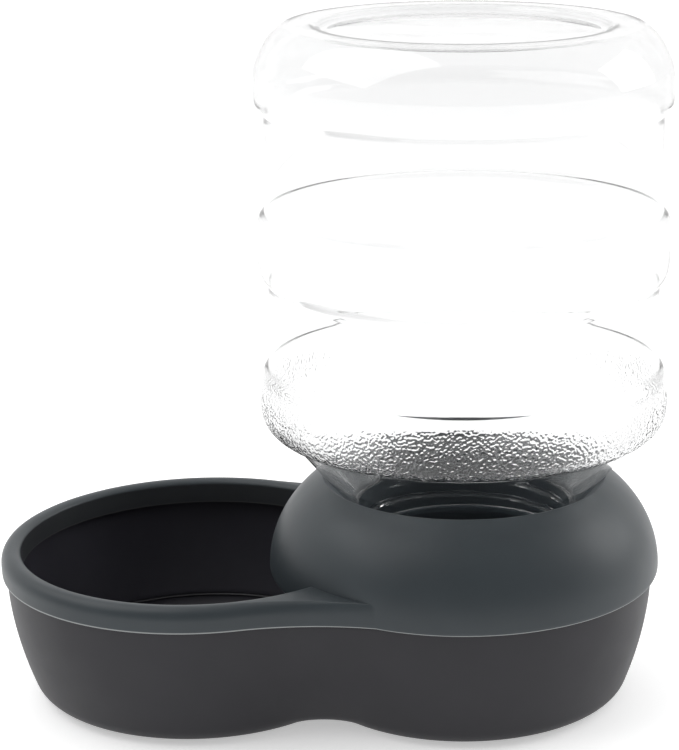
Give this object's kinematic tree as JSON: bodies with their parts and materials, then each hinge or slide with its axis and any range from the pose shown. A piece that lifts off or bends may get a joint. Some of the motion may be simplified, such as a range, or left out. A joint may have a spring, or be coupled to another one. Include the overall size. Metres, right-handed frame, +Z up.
{
  "type": "gravity pet feeder",
  "caption": "Gravity pet feeder: round food bowl beside a domed housing that holds a clear upturned bottle of dry food, on rubber feet.",
  "frame": {"origin": "on the ground, under the middle of the whole length, between the rim's end and the bottle's widest line", "axes": "+X from the bowl towards the bottle, +Y towards the rear, +Z up along the bottle's axis"},
  "size_m": [0.3108, 0.187, 0.3145],
  "materials": {
    "pan_plastic": "satin moulded plastic, very dark purplish grey",
    "foot_rubber": "matt black rubber",
    "cover_plastic": "satin moulded plastic, dark greenish grey",
    "clear_bottle": "clear blow-moulded PET, glossy, with a pebbled band under the lowest bulge"
  },
  "bodies": {
    "base": {"base_pan": "pan_plastic", "foot_bowl_front": "foot_rubber", "foot_bowl_left": "foot_rubber", "foot_bowl_rear": "foot_rubber", "foot_dome_front": "foot_rubber", "foot_dome_right": "foot_rubber", "foot_dome_rear": "foot_rubber"},
    "cover": {"top_cover": "cover_plastic"},
    "bottle": {"hopper_bottle": "clear_bottle"}
  },
  "joints": [
    {"name": "cover_lift", "type": "slide", "parent": "base", "child": "cover", "axis": [0, 0, 1], "range_m": [0, 0.06]},
    {"name": "bottle_lift", "type": "slide", "parent": "cover", "child": "bottle", "axis": [0, 0, 1], "range_m": [0, 0.07]}
  ]
}
